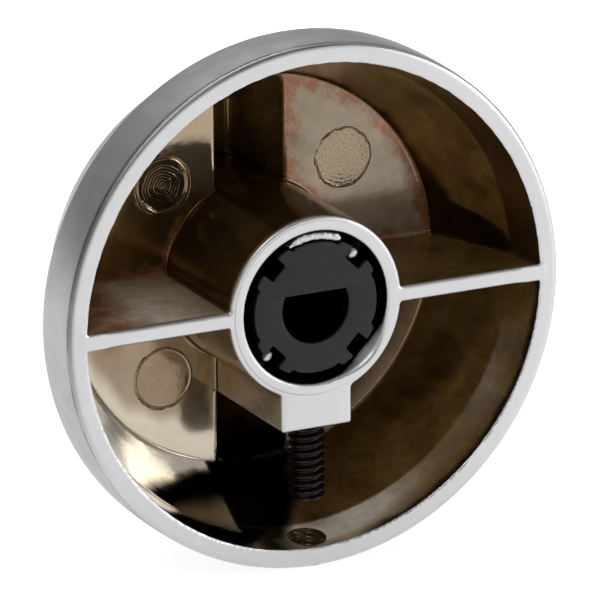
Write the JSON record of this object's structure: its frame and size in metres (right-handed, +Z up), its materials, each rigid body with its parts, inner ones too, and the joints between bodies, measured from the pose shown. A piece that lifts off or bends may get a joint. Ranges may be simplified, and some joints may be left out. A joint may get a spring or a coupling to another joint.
{
  "type": "valve control knob",
  "caption": "Round plated valve knob with a hollow back, a bar grip, a webbed hub, a D-bore stem insert and a set screw.",
  "frame": {"origin": "on the stem axis, in the plane of the back rim", "axes": "+Y from the open back along the stem axis to the front, +Z up along the grip bar, +X right along the webs as seen from the back"},
  "size_m": [0.07, 0.0335, 0.07],
  "materials": {
    "plated_casting": "satin chrome on the rim and outside, bright nickel inside, with brown tarnish",
    "black_insert": "matte moulded black",
    "black_screw": "black oxide, lightly oiled"
  },
  "bodies": {
    "casting": {"skirt": "plated_casting", "face_plate": "plated_casting", "grip_bar": "plated_casting", "hub": "plated_casting", "web_left": "plated_casting", "web_right": "plated_casting", "screw_boss": "plated_casting"},
    "insert": {"stem_insert": "black_insert"},
    "screw": {"set_screw": "black_screw"}
  },
  "joints": [
    {"name": "insert_slide", "type": "slide", "parent": "casting", "child": "insert", "axis": [0, -1, 0], "range_m": [0, 0.017]},
    {"name": "screw_feed", "type": "slide", "parent": "casting", "child": "screw", "axis": [0, 0, 1], "range_m": [-0.0052, 0.0017]}
  ]
}
